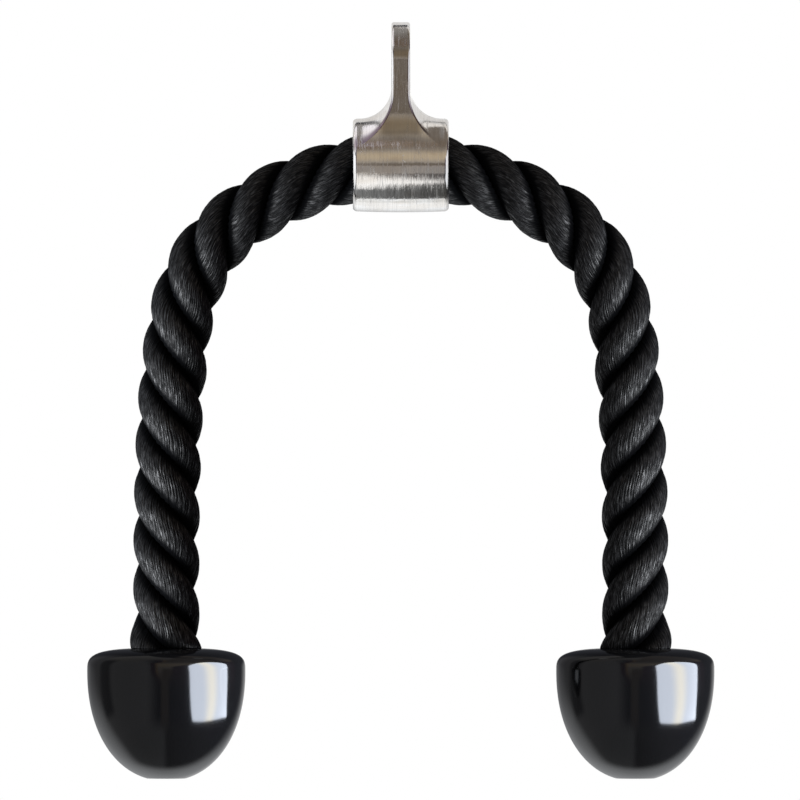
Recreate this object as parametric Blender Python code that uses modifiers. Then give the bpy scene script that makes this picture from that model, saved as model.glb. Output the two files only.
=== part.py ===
"""A cable machine's triceps rope: a cast hanger, a laid rope through its sleeve, and a moulded cap on each rope end.

Metres, +Z up. The origin is the centre of the hanger's eye, which holds the whole object up. The sleeve's
axis lies along X and the eye's hole is parallel to it. The rope is one length of three strands. Its middle
stretch lies in the sleeve, and a leg hangs down on each side.
"""

import math

import bmesh
import bpy
import numpy as np
from mathutils import Vector

# Hanger: the sleeve
SLEEVE_LENGTH = 0.044
SLEEVE_RADIUS = 0.0215
SLEEVE_CROWN = 0.0005
SLEEVE_EDGE = 0.0022
MOUTH_FLARE_RADIUS = 0.032
BORE_STRAIGHT_HALF = 0.007
MOUTH_LIP = 0.0004

# Hanger: the tab with the eye
EYE_DROP = 0.0475
EYE_RADIUS = 0.010
EYE_EDGE = 0.0015
EYE_LIP = 0.0004
TAB_THICKNESS = 0.0085
TAB_HEAD_RADIUS = 0.0175
TAB_EDGE = 0.0020
TAB_SIDE_FILLET = 0.0145
TAB_FRONT_FILLET = 0.020
TAB_SINK = 0.0008
TAB_ROOT_HEIGHT = 0.006

# Rope
ROPE_RADIUS = 0.01515
LAY_LENGTH = 0.0656
LAY_PHASE = math.radians(55)
STRANDS = 3
STRAND_CENTRE_SHARE = 0.45
STRAND_DEPTH_SHARE = 0.55
STRAND_WIDTH_SHARE = 0.62
STRAND_GAP = 0.0003
HEART_RADIUS = 0.0008
PIVOT_STANDOFF = 0.0025
PIVOT_DROP = 0.0028
JOINT_BALL_MARGIN = 0.0003
JOINT_CLEARANCE = 0.0005
CORE_INSET = 0.0028

# The middle line of a leg, outwards from the centre plane and up from the sleeve's axis, chosen along the
# photographed rope. It starts at the leg's pivot and ends at the top of the cap.
ROUTE = (
    (0.0340, -0.0056),
    (0.0460, -0.0096),
    (0.0625, -0.0176),
    (0.0763, -0.0270),
    (0.0870, -0.0383),
    (0.0945, -0.0516),
    (0.0994, -0.0665),
    (0.1023, -0.0840),
    (0.1044, -0.1050),
    (0.1058, -0.1300),
    (0.1065, -0.1600),
    (0.1067, -0.1900),
    (0.1067, -0.2198),
)

# Caps
CAP_RADIUS = 0.0360
CAP_HEIGHT = 0.0593
CAP_SHOULDER = 0.0105
CAP_SHOULDER_POWER = 3.3
CAP_BOWL_POWER = 2.15
CAP_FOOT_RADIUS = 0.0088
CAP_LIP_EDGE = 0.0010
CAP_LIP_TURN = 112
CAP_LIP_DEPTH = 0.0060
SOCKET_DEPTH = 0.0400
COUNTERBORE_DEPTH = 0.0090
COUNTERBORE_RADIUS = 0.0070
SEAT_GAP = 0.0003

# What holds a cap on its rope end
BAND_THICKNESS = 0.0006
BAND_LENGTH = 0.0140
BAND_STEP = 0.0030
SCREW_RADIUS = 0.0030
SCREW_LENGTH = 0.0360
SCREW_POINT_LENGTH = 0.0060
SCREW_HEAD_WIDTH = 0.0100
SCREW_HEAD_HEIGHT = 0.0040
HEAD_SIDES = 6
HEAD_CHAMFER = 0.0006
WASHER_RADIUS = 0.0065
WASHER_THICKNESS = 0.0012
HEART_TAPER = 0.0080

# How finely the surfaces are drawn
ROUND_STEPS = 28
SLEEVE_STEPS = 40
SHANK_STEPS = 14
BALL_RINGS = 16
LAY_RINGS = 12
LOBE_POINTS = 8
EDGE_POINTS = 4
LIP_POINTS = 3
SHARP_ANGLE = math.radians(40)
CUT_OVERRUN = 0.002
MERGE = 0.00001

SIDES = {"left": -1, "right": 1}


def clear_scene():
    for found in list(bpy.data.objects):
        bpy.data.objects.remove(found, do_unlink=True)


def collection(name):
    made = bpy.data.collections.new(name)
    bpy.context.scene.collection.children.link(made)
    return made


def material(name, colour, roughness, metallic):
    made = bpy.data.materials.new(name)
    made.use_nodes = True
    shader = made.node_tree.nodes["Principled BSDF"]
    shader.inputs["Base Color"].default_value = (*colour, 1)
    shader.inputs["Roughness"].default_value = roughness
    shader.inputs["Metallic"].default_value = metallic
    return made


def add(name, mesh, group, finish=None, parent=None, at=(0, 0, 0)):
    made = bpy.data.objects.new(name, mesh)
    group.objects.link(made)
    made.parent = parent
    made.location = at
    if finish:
        mesh.materials.append(finish)
    return made


def empty(name, group, at, parent=None):
    made = add(name, None, group, parent=parent, at=at)
    made.empty_display_size = ROPE_RADIUS
    return made


def as_cutter(made):
    made.hide_render = True
    made.display_type = "WIRE"
    return made


def combine(target, other, operation):
    boolean = target.modifiers.new(operation.lower(), "BOOLEAN")
    boolean.operation = operation
    boolean.object = other
    boolean.solver = "EXACT"


def solid(name, points, faces):
    """A mesh from points and faces, smooth but for its edges."""
    mesh = bpy.data.meshes.new(name)
    mesh.from_pydata(points, [], faces)
    mesh.shade_smooth()
    mesh.set_sharp_from_angle(angle=SHARP_ANGLE)
    return mesh


def turned(
    name, outline, group, finish=None, parent=None, at=(0, 0, 0), closed=False, steps=ROUND_STEPS, smooth=True
):
    """A solid turned about its own Z from an outline of (radius, height), which runs down its outer side."""
    mesh = bpy.data.meshes.new(name)
    count = len(outline)
    edges = [(i, i + 1) for i in range(count - 1)]
    if closed:
        edges.append((count - 1, 0))
    mesh.from_pydata([(radius, 0, height) for radius, height in outline], edges, [])
    made = add(name, mesh, group, finish, parent, at)
    screw = made.modifiers.new("turn", "SCREW")
    screw.steps = steps
    screw.render_steps = steps
    screw.use_merge_vertices = True
    screw.merge_threshold = MERGE
    screw.use_smooth_shade = smooth
    return made


def arc(centre, radius, start, end, count):
    """Points of a round corner, from one angle to another, counter-clockwise from +radius towards +height."""
    angles = [math.radians(start + (end - start) * i / (count - 1)) for i in range(count)]
    return [(centre[0] + radius * math.cos(a), centre[1] + radius * math.sin(a)) for a in angles]


def sleeve_outline():
    """The outside of the sleeve, turned solid: crowned along its length, with round end edges."""
    half = SLEEVE_LENGTH / 2
    end_radius = SLEEVE_RADIUS - SLEEVE_CROWN
    corner = (end_radius - SLEEVE_EDGE, half - SLEEVE_EDGE)
    upper = [(0, half)] + arc(corner, SLEEVE_EDGE, 90, 0, EDGE_POINTS)
    crown_shares = (0.55, 0)
    upper += [(SLEEVE_RADIUS - SLEEVE_CROWN * t * t, t * half) for t in crown_shares]
    lower = [(radius, -height) for radius, height in reversed(upper[:-1])]
    return upper + lower


def bore_radius(along):
    """The radius of the rope's bore at a distance from the sleeve's middle: straight, then bell-mouthed."""
    past = max(0, along - BORE_STRAIGHT_HALF)
    flare = MOUTH_FLARE_RADIUS - math.sqrt(MOUTH_FLARE_RADIUS ** 2 - past ** 2)
    return ROPE_RADIUS + SEAT_GAP + flare


def bore_outline():
    half = SLEEVE_LENGTH / 2
    flare_shares = (0, 0.4, 0.72, 1)
    run = [BORE_STRAIGHT_HALF + t * (half - MOUTH_LIP - BORE_STRAIGHT_HALF) for t in flare_shares]
    lip = bore_radius(half) + MOUTH_LIP
    upper = [(0, half + CUT_OVERRUN), (lip, half + CUT_OVERRUN), (lip, half)]
    upper += [(bore_radius(x), x) for x in reversed(run)]
    lower = [(radius, -height) for radius, height in reversed(upper)]
    return upper + lower


def eye_outline():
    """The eye's hole with its rounded mouths, as a turned cutter."""
    half = TAB_THICKNESS / 2
    wide = EYE_RADIUS + EYE_EDGE
    upper = [(0, half + CUT_OVERRUN), (wide, half + CUT_OVERRUN)]
    upper += arc((wide, half - EYE_EDGE + EYE_LIP), EYE_EDGE, 90, 180, EDGE_POINTS)
    lower = [(radius, -height) for radius, height in reversed(upper)]
    return upper + lower


def tab_half_width(height):
    """Half the tab's width at a height above the sleeve's axis: flared on to the sleeve, straight, round head."""
    seat = SLEEVE_RADIUS - TAB_SINK
    flare_top = math.sqrt((seat + TAB_FRONT_FILLET) ** 2 - (TAB_HEAD_RADIUS + TAB_FRONT_FILLET) ** 2)
    flare_foot = flare_top * seat / (seat + TAB_FRONT_FILLET)
    if height > EYE_DROP:
        return math.sqrt(max(0, TAB_HEAD_RADIUS ** 2 - (height - EYE_DROP) ** 2))
    if height > flare_top:
        return TAB_HEAD_RADIUS
    if height > flare_foot:
        return TAB_HEAD_RADIUS + TAB_FRONT_FILLET - math.sqrt(TAB_FRONT_FILLET ** 2 - (flare_top - height) ** 2)
    return math.sqrt(seat ** 2 - height ** 2)


def tab_half_thickness(across, height):
    """Half the tab's thickness at a point of its side: flat, with a fillet on to the sleeve and round edges."""
    rise = max(0, math.hypot(across, height) - SLEEVE_RADIUS + TAB_SINK)
    half = TAB_THICKNESS / 2
    if rise < TAB_SIDE_FILLET:
        half += TAB_SIDE_FILLET - math.sqrt(TAB_SIDE_FILLET ** 2 - (TAB_SIDE_FILLET - rise) ** 2)
    inset = tab_half_width(height) - abs(across)
    if height > EYE_DROP:
        inset = TAB_HEAD_RADIUS - math.hypot(across, height - EYE_DROP)
    short = min(TAB_EDGE, max(0, TAB_EDGE - inset))
    return half - TAB_EDGE + math.sqrt(TAB_EDGE ** 2 - short ** 2)


def tab_heights():
    """The heights of the tab's sections above the sleeve's axis, close together where the tab curves."""
    seat = SLEEVE_RADIUS - TAB_SINK
    root_steps = 5
    heights = [TAB_ROOT_HEIGHT + (seat - TAB_ROOT_HEIGHT) * i / root_steps for i in range(root_steps)]
    fillet_angles = (12, 28, 46, 66, 90)
    heights += [seat + TAB_SIDE_FILLET * (1 - math.cos(math.radians(a))) for a in fillet_angles]
    head_angles = (0, 16, 32, 46, 58, 68, 77, 85)
    return heights + [EYE_DROP + TAB_HEAD_RADIUS * math.sin(math.radians(a)) for a in head_angles]


def tab_mesh():
    """The tab, lofted through level sections that change from the wide foot to the round head."""
    across_shares = (-1, -0.97, -0.91, -0.78, -0.56, -0.3, 0, 0.3, 0.56, 0.78, 0.91, 0.97, 1)
    rings = []
    for height in tab_heights():
        width = tab_half_width(height)
        front = [(tab_half_thickness(t * width, height), t * width, height) for t in across_shares]
        rings.append(front + [(-x, y, z) for x, y, z in reversed(front)])
    count = len(rings[0])
    points = [point for ring in rings for point in ring]
    faces = [tuple(reversed(range(count))), tuple(range(len(points) - count, len(points)))]
    for k in range(len(rings) - 1):
        for j in range(count):
            a, b = k * count + j, k * count + (j + 1) % count
            faces.append((a, b, b + count, a + count))
    return solid("hanger", points, faces)


def hanger(parts, cutters, finish):
    """The cast hanger: the tab and the sleeve joined, then bored for the rope and holed for the carabiner.

    Sleeve and eye are half a step round, so that their ridges cross no ridge of the bore or the tab."""
    axis = (0, 0, -EYE_DROP)
    made = add("hanger", tab_mesh(), parts, finish, at=axis)
    sleeve = as_cutter(turned("sleeve_body", sleeve_outline(), cutters, steps=SLEEVE_STEPS, at=axis))
    bore = as_cutter(turned("rope_bore", bore_outline(), cutters, steps=SLEEVE_STEPS, at=axis))
    eye = as_cutter(turned("eye_hole", eye_outline(), cutters))
    for cutter, operation in ((sleeve, "UNION"), (bore, "DIFFERENCE"), (eye, "DIFFERENCE")):
        cutter.rotation_mode = "ZYX"
        cutter.rotation_euler.y = math.pi / 2
        combine(made, cutter, operation)
    sleeve.rotation_euler.x = math.pi / SLEEVE_STEPS
    eye.rotation_euler.x = math.pi / ROUND_STEPS


def smooth_line(points):
    """A function that gives the point at a share of a smooth curve through points: a natural cubic spline."""
    knots = np.array(points)
    at = np.concatenate([[0], np.cumsum(np.linalg.norm(np.diff(knots, axis=0), axis=1))])
    gaps = np.diff(at)
    count = len(knots)
    lines, sides = np.eye(count), np.zeros((count, 2))
    for i in range(1, count - 1):
        lines[i, i - 1:i + 2] = gaps[i - 1], 2 * (gaps[i - 1] + gaps[i]), gaps[i]
        sides[i] = 6 * ((knots[i + 1] - knots[i]) / gaps[i] - (knots[i] - knots[i - 1]) / gaps[i - 1])
    bend = np.linalg.solve(lines, sides)

    def point(share):
        x = share * at[-1]
        i = min(int(np.searchsorted(at, x, side="right")) - 1, count - 2)
        before, after, gap = x - at[i], at[i + 1] - x, gaps[i]
        curve = (bend[i] * after ** 3 + bend[i + 1] * before ** 3) / (6 * gap)
        return curve + (knots[i] / gap - bend[i] * gap / 6) * after + (knots[i + 1] / gap - bend[i + 1] * gap / 6) * before

    return point


def leg_pivot():
    """Where a leg bends at the sleeve's mouth, outwards and up from the sleeve's axis."""
    return SLEEVE_LENGTH / 2 + PIVOT_STANDOFF, -PIVOT_DROP


def leg_line():
    """Evenly spaced stations down a leg, from its pivot: distances, places and directions, outwards and up."""
    cap_top = ROUTE[-1]
    end = (cap_top[0], cap_top[1] - SOCKET_DEPTH + SEAT_GAP)
    curve = smooth_line((leg_pivot(), *ROUTE, end))
    fine_count = 2000
    fine = np.array([curve(i / fine_count) for i in range(fine_count + 1)])
    far = np.concatenate([[0], np.cumsum(np.linalg.norm(np.diff(fine, axis=0), axis=1))])
    count = round(far[-1] / LAY_LENGTH * LAY_RINGS)
    distances = np.linspace(0, far[-1], count + 1)
    places = np.stack([np.interp(distances, far, fine[:, k]) for k in range(2)], axis=1)
    slopes = np.gradient(places, distances, axis=0)
    slopes /= np.linalg.norm(slopes, axis=1)[:, None]
    return distances, places, slopes


def strand_section(heart):
    """The outline of one strand, square to the rope, about the rope's middle: a round lobe and a wedge."""
    wedge = math.pi / STRANDS
    line = Vector((math.cos(wedge), math.sin(wedge)))
    inward = Vector((math.sin(wedge), -math.cos(wedge))) * STRAND_GAP / 2
    centre, depth, width = (ROPE_RADIUS * t for t in (STRAND_CENTRE_SHARE, STRAND_DEPTH_SHARE, STRAND_WIDTH_SHARE))
    across, along = depth * line.y, width * line.x
    reach = math.acos((STRAND_GAP / 2 - centre * line.y) / math.hypot(across, along)) - math.atan2(along, across)
    turns = [-reach + 2 * reach * i / (LOBE_POINTS - 1) for i in range(LOBE_POINTS)]
    lobe = [Vector((centre + depth * math.cos(t), width * math.sin(t))) for t in turns]
    inner = line * heart + inward
    return lobe + [inner, Vector((heart, 0)), inner * Vector((1, -1))]


def ring(section, turn, place, along, side):
    """A section turned about the rope and set square to its line. along is the line's direction."""
    outer = Vector((-along[1], along[0]))
    points = []
    for x, y in section:
        up = x * math.cos(turn) - y * math.sin(turn)
        front = x * math.sin(turn) + y * math.cos(turn)
        points.append((side * (place[0] + outer.x * up), -front, place[1] + outer.y * up))
    return points


def leg_strand_mesh(name, side, turn):
    """One strand of a leg about its pivot. It starts with its share of a ball and winds down into the cap."""
    distances, places, slopes = leg_line()
    pivot, start = Vector(places[0]), Vector(slopes[0])
    places = places - places[0]
    full = strand_section(HEART_RADIUS)
    ball = ROPE_RADIUS + JOINT_BALL_MARGIN
    middle = Vector((ROPE_RADIUS * STRAND_CENTRE_SHARE, 0))
    rings = []
    ball_shares = (0, 0.5, 0.82, 1)
    for share in ball_shares:
        section = [middle + (point - middle) * share for point in full]
        flat = ring(section, turn, (0, 0), start, side)
        backs = [math.sqrt(ball ** 2 - point.length_squared) for point in section]
        rings.append([(x - side * start.x * b, y, z - start.y * b) for (x, y, z), b in zip(flat, backs)])
    rings[0] = rings[0][:1]
    screw_tip = distances[-1] + SEAT_GAP - screw_reach()
    for distance, place, slope in zip(distances, places, slopes):
        open_share = 1 + (distance - screw_tip) / HEART_TAPER
        open_heart = (SCREW_RADIUS + SEAT_GAP) / math.cos(math.pi / STRANDS / 2) - HEART_RADIUS
        heart = HEART_RADIUS + open_heart * min(1, max(0, open_share))
        twist = turn + 2 * math.pi * distance / LAY_LENGTH
        rings.append(ring(strand_section(heart), twist, place, slope, side))
    return solid(name, *skin(rings, side))


def wall(first, count, outwards=True):
    """The faces from one ring to the next. Lobe and flats are split along opposite lines, as the lay winds."""
    faces = []
    for j in range(count):
        a, b = first + j, first + (j + 1) % count
        on_flat = LOBE_POINTS - 1 <= j < count - 1
        if on_flat == outwards:
            faces += [(a, b, b + count), (a, b + count, a + count)]
        else:
            faces += [(a, b, a + count), (b, b + count, a + count)]
    return faces


def skin(rings, side):
    """Points and faces over rings of equal count, closed by a point at the start and a flat end."""
    count = len(rings[-1])
    points = [point for one in rings for point in one]
    faces = [(0, 1 + (j + 1) % count, 1 + j) for j in range(count)]
    for k in range(len(rings) - 2):
        faces += wall(1 + k * count, count)
    faces.append(tuple(range(len(points) - count, len(points))))
    if side < 0:
        faces = [tuple(reversed(face)) for face in faces]
    return points, faces


def core_strand(name, turn, parts, finish, parent, balls):
    """One strand in the sleeve. Its lay turns back at the middle, and the legs' balls hollow its ends."""
    half = SLEEVE_LENGTH / 2 - CORE_INSET
    section = strand_section(HEART_RADIUS)
    count = len(section)
    steps = int(half / LAY_LENGTH * LAY_RINGS)
    points = []
    faces = [tuple(reversed(range(count)))]
    for k in range(-steps, steps + 1):
        along = half * k / steps
        twist = turn - 2 * math.pi * (leg_pivot()[0] - abs(along)) / LAY_LENGTH
        if k > -steps:
            faces += wall(len(points) - count, count, outwards=k > 0)
        points += ring(section, twist, (along, 0), (1, 0), 1)
    faces.append(tuple(range(len(points) - count, len(points))))
    made = add(name, solid(name, points, faces), parts, finish, parent)
    for ball in balls:
        combine(made, ball, "DIFFERENCE")


def ball_cutter(name, cutters, at):
    """A ball as a cutter, a clearance larger than the round start of a leg."""
    mesh = bpy.data.meshes.new(name)
    build = bmesh.new()
    radius = ROPE_RADIUS + JOINT_BALL_MARGIN + JOINT_CLEARANCE
    bmesh.ops.create_uvsphere(build, u_segments=ROUND_STEPS, v_segments=BALL_RINGS, radius=radius)
    build.to_mesh(mesh)
    build.free()
    return as_cutter(add(name, mesh, cutters, at=at))


def cap_outline():
    """The moulded cap from its top: shoulder, bowl, foot, counterbore, web and the socket behind the lip."""
    top, power = CAP_SHOULDER, CAP_SHOULDER_POWER
    mouth = ROPE_RADIUS + SEAT_GAP
    start = math.acos(((mouth + CAP_LIP_EDGE) / CAP_RADIUS) ** (power / 2))
    shoulder_shares = (1, 0.86, 0.7, 0.52, 0.3)
    outline = []
    for share in shoulder_shares:
        a = start * share
        outline.append((CAP_RADIUS * math.cos(a) ** (2 / power), -top * (1 - math.sin(a) ** (2 / power))))
    power = CAP_BOWL_POWER
    foot = math.acos((CAP_FOOT_RADIUS / CAP_RADIUS) ** (power / 2))
    depth = (CAP_HEIGHT - top) / math.sin(foot) ** (2 / power)
    bowl_shares = (0, 0.18, 0.36, 0.52, 0.67, 0.8, 0.91, 1)
    for share in bowl_shares:
        a = foot * share
        outline.append((CAP_RADIUS * math.cos(a) ** (2 / power), -top - depth * math.sin(a) ** (2 / power)))
    chamber = band_outer_radius() + SEAT_GAP
    web_foot = COUNTERBORE_DEPTH - CAP_HEIGHT
    outline += [(COUNTERBORE_RADIUS, -CAP_HEIGHT), (COUNTERBORE_RADIUS, web_foot)]
    outline += [(SCREW_RADIUS + SEAT_GAP, web_foot), (SCREW_RADIUS + SEAT_GAP, -SOCKET_DEPTH)]
    outline += [(chamber, -SOCKET_DEPTH), (chamber, -CAP_LIP_DEPTH), (mouth, -CAP_LIP_DEPTH)]
    lip = (mouth + CAP_LIP_EDGE, outline[0][1] - CAP_LIP_EDGE)
    return outline + arc(lip, CAP_LIP_EDGE, 180, CAP_LIP_TURN, LIP_POINTS)


def band_outer_radius():
    return ROPE_RADIUS + SEAT_GAP + BAND_THICKNESS


def ring_outline(inner, outer, top, bottom):
    return [(inner, top), (outer, top), (outer, bottom), (inner, bottom)]


def washer_top():
    """The washer's upper face, below the top of the cap."""
    return COUNTERBORE_DEPTH - CAP_HEIGHT - SEAT_GAP


def screw_reach():
    """How far the screw's point stands above the floor of the socket."""
    return SCREW_LENGTH + washer_top() - WASHER_THICKNESS - SEAT_GAP + SOCKET_DEPTH


def screw(name, parts, cutters, finish, parent, at):
    """A lag screw: a six-sided head with a chamfered outer edge, joined to a round shank with a point."""
    head_top = washer_top() - WASHER_THICKNESS - SEAT_GAP
    head_foot = head_top - SCREW_HEAD_HEIGHT
    corner = SCREW_HEAD_WIDTH / 2 / math.cos(math.pi / HEAD_SIDES)
    head = [(0, head_top), (corner, head_top), (corner, head_foot + HEAD_CHAMFER)]
    head += [(corner - HEAD_CHAMFER, head_foot), (0, head_foot)]
    tip = head_top + SCREW_LENGTH
    shank_foot = head_top - SCREW_HEAD_HEIGHT / 2
    shank = [(0, tip), (SCREW_RADIUS, tip - SCREW_POINT_LENGTH), (SCREW_RADIUS, shank_foot), (0, shank_foot)]
    made = turned(name, head, parts, finish, parent, at, steps=HEAD_SIDES, smooth=False)
    shank_body = turned(name + "_shank", shank, cutters, parent=parent, at=at, steps=SHANK_STEPS)
    combine(made, as_cutter(shank_body), "UNION")


def rope_end(side_name, parts, cutters, finishes, parent, at):
    """The cap on one rope end, and what holds it there. All their heights are below the cap's top."""
    turned(side_name + "_cap", cap_outline(), parts, finishes["cap"], parent, at, closed=True)
    band_foot = SEAT_GAP + BAND_STEP - SOCKET_DEPTH
    band = ring_outline(ROPE_RADIUS + SEAT_GAP, band_outer_radius(), band_foot + BAND_LENGTH, band_foot)
    turned(side_name + "_end_band", band, parts, finishes["band"], parent, at, closed=True)
    top = washer_top()
    washer = ring_outline(SCREW_RADIUS + SEAT_GAP, WASHER_RADIUS, top, top - WASHER_THICKNESS)
    turned(side_name + "_washer", washer, parts, finishes["steel"], parent, at, closed=True)
    screw(side_name + "_screw", parts, cutters, finishes["steel"], parent, at)


def main():
    clear_scene()
    parts = collection("triceps_rope")
    cutters = collection("cutters")
    finishes = {
        "metal": material("polished_casting", (0.62, 0.60, 0.57), 0.22, 1.0),
        "rope": material("black_rope", (0.012, 0.012, 0.013), 0.55, 0.0),
        "cap": material("black_moulding", (0.008, 0.008, 0.009), 0.12, 0.0),
        "band": material("grey_binding", (0.05, 0.05, 0.055), 0.6, 0.0),
        "steel": material("zinc_steel", (0.55, 0.56, 0.58), 0.35, 1.0),
    }
    hanger(parts, cutters, finishes["metal"])
    core = empty("rope_core", parts, (0, 0, -EYE_DROP))
    pivot = leg_pivot()
    balls = []
    legs = {}
    for side_name, side in SIDES.items():
        place = Vector((side * pivot[0], 0, pivot[1]))
        legs[side_name] = empty(side_name + "_leg", parts, place, core)
        balls.append(ball_cutter(side_name + "_ball", cutters, place + core.location))
    for i in range(STRANDS):
        turn = LAY_PHASE + 2 * math.pi * i / STRANDS
        core_strand(f"core_strand_{i + 1}", turn, parts, finishes["rope"], core, balls)
        for side_name, side in SIDES.items():
            name = f"{side_name}_strand_{i + 1}"
            add(name, leg_strand_mesh(name, side, turn), parts, finishes["rope"], legs[side_name])
    for side_name, side in SIDES.items():
        cap_top = (side * (ROUTE[-1][0] - pivot[0]), 0, ROUTE[-1][1] - pivot[1])
        rope_end(side_name, parts, cutters, finishes, legs[side_name], cap_top)


main()
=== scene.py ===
"""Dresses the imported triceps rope: polished casting, laid black rope, gloss end caps, and a plain studio.

Metres. +Z is up, +X is the photograph's right, and the camera looks along +Y. The origin is the centre of
the hanger's eye.
"""

import math

import bmesh
import bpy
import numpy as np
from bpy.props import FloatProperty, FloatVectorProperty, IntProperty, PointerProperty
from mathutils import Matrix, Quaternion, Vector


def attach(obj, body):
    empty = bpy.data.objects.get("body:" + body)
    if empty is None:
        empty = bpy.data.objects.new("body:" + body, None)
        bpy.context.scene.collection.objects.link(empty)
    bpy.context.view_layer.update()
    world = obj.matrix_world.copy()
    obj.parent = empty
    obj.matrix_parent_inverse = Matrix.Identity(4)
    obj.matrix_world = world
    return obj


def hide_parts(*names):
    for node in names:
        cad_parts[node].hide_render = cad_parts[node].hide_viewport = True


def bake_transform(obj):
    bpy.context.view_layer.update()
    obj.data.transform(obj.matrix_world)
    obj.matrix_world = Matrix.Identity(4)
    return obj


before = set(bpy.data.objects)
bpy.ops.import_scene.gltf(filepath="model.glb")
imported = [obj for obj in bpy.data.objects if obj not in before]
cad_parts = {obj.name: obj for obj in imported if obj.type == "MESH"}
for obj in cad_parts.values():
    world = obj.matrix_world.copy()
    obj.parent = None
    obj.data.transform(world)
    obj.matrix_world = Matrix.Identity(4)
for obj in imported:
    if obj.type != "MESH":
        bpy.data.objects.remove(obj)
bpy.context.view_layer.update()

bl_info = {
    "name": "Triceps rope dresser",
    "version": (1, 0, 0),
    "blender": (4, 5, 0),
    "location": "3D View > Sidebar > Triceps rope",
    "description": "Makes the casting, the laid rope, the end caps and the studio round the packed solids",
    "category": "Object",
}

MM = 0.001
SIDES = {"left": -1, "right": 1}

# The hanger
SLEEVE_HALF = 22 * MM
SLEEVE_CROWN = 0.5 * MM
SLEEVE_EDGE = 2.2 * MM
BORE_RADIUS = 15.45 * MM
BORE_STRAIGHT_HALF = 7 * MM
MOUTH_FLARE_RADIUS = 32 * MM
MOUTH_EDGE = 1.0 * MM
AXIS_DROP = 47.5 * MM
TAB_HEAD_RADIUS = 17.5 * MM
TAB_EDGE = 1.1 * MM
EYE_RADIUS = 10 * MM
EYE_EDGE = 1.5 * MM
SIDE_FILLET = 14.5 * MM
FRONT_FILLET = 20 * MM

# The flare in front of the tab's foot, as the painted dark reflections on the metal follow it: where it
# starts and ends above the sleeve's axis, how far out it runs, and how late it turns out
FLARE_TOP = 24 * MM
FLARE_FOOT = 9.2 * MM
FLARE_OUT = 1.93 * MM
FLARE_POWER = 3.6

# How often the hanger's mesh is drawn on to its exact skin, and how many of these laps smooth it too
DRAWING_LAPS = 10
SMOOTHING_LAPS = 6
NEARLY_PARALLEL = 0.995

# The rope's middle line on one side, outwards from the centre plane and up from the sleeve's axis
ROUTE = (
    (0.0003, 0.0),
    (0.0120, -0.0005),
    (0.0245, -0.0028),
    (0.0340, -0.0056),
    (0.0460, -0.0096),
    (0.0625, -0.0176),
    (0.0763, -0.0270),
    (0.0870, -0.0383),
    (0.0945, -0.0516),
    (0.0994, -0.0665),
    (0.1023, -0.0840),
    (0.1044, -0.1050),
    (0.1058, -0.1300),
    (0.1065, -0.1600),
    (0.1067, -0.1900),
    (0.1067, -0.2198),
    (0.1067, -0.2590),
)
PIVOT_AT = 2
ROPE_IN_CAP = ROUTE[-2][1] - ROUTE[-1][1]
LINE_STEPS = 4000
ROW_STEP = 2.2 * MM

# The strands. Their sizes are shares of the rope's radius, and so are the heights between which the painted
# shade of a groove gives way to a crest
LAY_PHASE = math.radians(55)
STRANDS = 3
STRAND_CENTRE_SHARE = 0.45
STRAND_DEPTH_SHARE = 0.55
STRAND_WIDTH_SHARE = 0.62
STRAND_GAP = 0.1 * MM
GROOVE_HEIGHTS = (0.80, 0.97)
STRAND_COLUMNS = 300

# The fibres: how far they turn back against the lay, how high the highest bundles stand above the mean and
# how far the deepest gaps lie under those, both in fibre depths, how far one set of bundles runs, and how
# many millimetres of the fibre layer go round a strand
FIBRE_SEED = 7
FIBRE_TURN_SHARE = 1.5
FIBRE_TOP = 1.4
FIBRE_DEEPEST = 4
KNOT_STEP = 7 * MM
STRAND_PERIMETER = 50

# The rope's swell on the cap's lip: how much thicker it is, how far that reaches up and down, and its rows
CAP_BULGE_SHARE = 0.115
CAP_BULGE_REACH = (9 * MM, 0.3 * MM)
CAP_BULGE_ROWS = np.arange(-9, 1, 0.5) * MM

# The caps
CAP_X = 106.7 * MM
CAP_TOP = ROUTE[-2][1] - AXIS_DROP
CAP_SHOULDER = 10.5 * MM
CAP_SHOULDER_POWER = 3.6
CAP_BOWL_POWER = 2.15
CAP_FOOT_RADIUS = 8.8 * MM
CAP_FOOT_EDGE = 0.6 * MM
CAP_LIP_EDGE = 1.0 * MM
CAP_LIP_DEPTH = 6.0 * MM
CHAMBER_RADIUS = 16.35 * MM
SOCKET_DEPTH = 40 * MM
COUNTERBORE_DEPTH = 9 * MM
COUNTERBORE_RADIUS = 7 * MM
COUNTERBORE_CHAMFER = 0.1 * MM
SCREW_HOLE_RADIUS = 3.3 * MM
SHOULDER_STEPS = 22
BOWL_STEPS = 40
CAP_STEPS = 128
CAP_SHARP_ANGLE = math.radians(50)

# The photograph's frame
PIXEL = 0.455 * MM
PICTURE = 800
CENTRE_COLUMN = 400.8
AXIS_ROW = 165

# The studio
FLOOR_RADIUS = 0.5
WINDOW_SPREAD = 1.65
WINDOW_SIZE = (3.54 * WINDOW_SPREAD, 2.93 * WINDOW_SPREAD)
SLEEVE_MIDDLE, ROPE_MIDDLE, CAPS_MIDDLE = (0, 0, -AXIS_DROP), (0, 0, -0.17), (0, 0, -0.29)
LAMP_DISTANCE = 2.4
PALE, BLUE, COOL = (1.0, 0.99, 0.97), (0.93, 0.96, 1.0), (0.96, 0.985, 1.0)
WARM, LAVENDER = (1.0, 0.93, 0.85), (0.95, 0.93, 1.0)

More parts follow.
